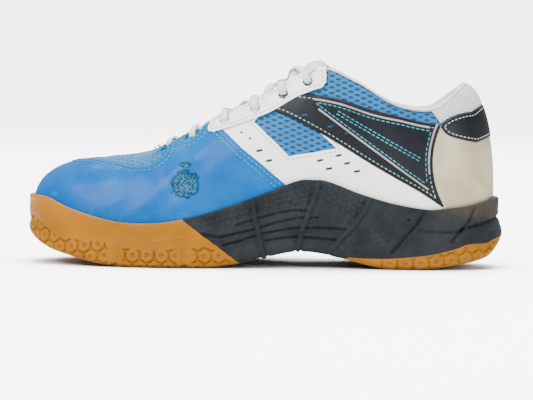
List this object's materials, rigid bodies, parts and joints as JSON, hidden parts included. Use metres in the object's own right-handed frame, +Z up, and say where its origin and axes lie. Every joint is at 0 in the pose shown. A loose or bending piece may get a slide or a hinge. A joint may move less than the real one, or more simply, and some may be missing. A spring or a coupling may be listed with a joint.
{
  "type": "court shoe",
  "caption": "Low-cut lace-up court shoe for the right foot: moulded rubber cup sole, foam midsole, mesh upper with stitched synthetic panels.",
  "frame": {"origin": "centre of the footprint's bounding box, on the ground", "axes": "+X from toe to heel, -Y the big-toe side, +Z up"},
  "size_m": [0.2864, 0.1076, 0.1242],
  "materials": {
    "gum_rubber": "satin",
    "charcoal_foam": "matte",
    "hard_plate": "gloss",
    "gel_pod": "satin",
    "board_cloth": "matte",
    "sockliner_foam": "matte",
    "stiffener_sheet": "matte",
    "collar_foam": "matte",
    "lining_cloth": "matte",
    "blue_mesh": "matte",
    "blue_synthetic": "gloss",
    "white_synthetic": "satin",
    "black_synthetic": "satin",
    "cream_synthetic": "satin",
    "knit": "matte",
    "tongue_cloth": "matte",
    "lace_cotton": "matte",
    "clear_tip": "gloss"
  },
  "bodies": {
    "root": {"outsole_forefoot": "gum_rubber", "outsole_heel": "gum_rubber", "midsole": "charcoal_foam", "shank_plate": "hard_plate", "forefoot_cushion": "gel_pod", "heel_cushion": "gel_pod", "lasting_board": "board_cloth", "toe_puff": "stiffener_sheet", "heel_counter_stiffener": "stiffener_sheet", "collar_foam": "collar_foam", "collar_lining": "lining_cloth", "vamp_lining": "lining_cloth", "vamp_mesh": "blue_mesh", "quarter_mesh_medial": "blue_mesh", "quarter_mesh_lateral": "blue_mesh", "forefoot_overlay": "blue_synthetic", "saddle_overlay_medial": "white_synthetic", "saddle_overlay_lateral": "white_synthetic", "eyestay_medial": "white_synthetic", "eyestay_lateral": "white_synthetic", "quarter_overlay_medial": "black_synthetic", "quarter_overlay_lateral": "black_synthetic", "side_band_medial": "black_synthetic", "side_band_lateral": "black_synthetic", "heel_collar_patch": "black_synthetic", "heel_counter_cover": "cream_synthetic", "heel_tab": "knit", "tongue_lower": "tongue_cloth", "lace": "lace_cotton", "aglet_medial": "clear_tip", "aglet_lateral": "clear_tip"},
    "tongue_top": {"tongue_top": "tongue_cloth"},
    "sockliner": {"sockliner": "sockliner_foam"}
  },
  "joints": [
    {"name": "tongue_fold", "type": "hinge", "parent": "root", "child": "tongue_top", "pos_m": [0.02125, 0, 0.1175], "axis": [0, -1, 0], "range_deg": [-10, 35], "stiffness_Nm_per_rad": 0.02},
    {"name": "sockliner_lift", "type": "hinge", "parent": "root", "child": "sockliner", "pos_m": [-0.13175, 0, 0.0263], "axis": [0, -1, 0], "range_deg": [0, 5]}
  ]
}
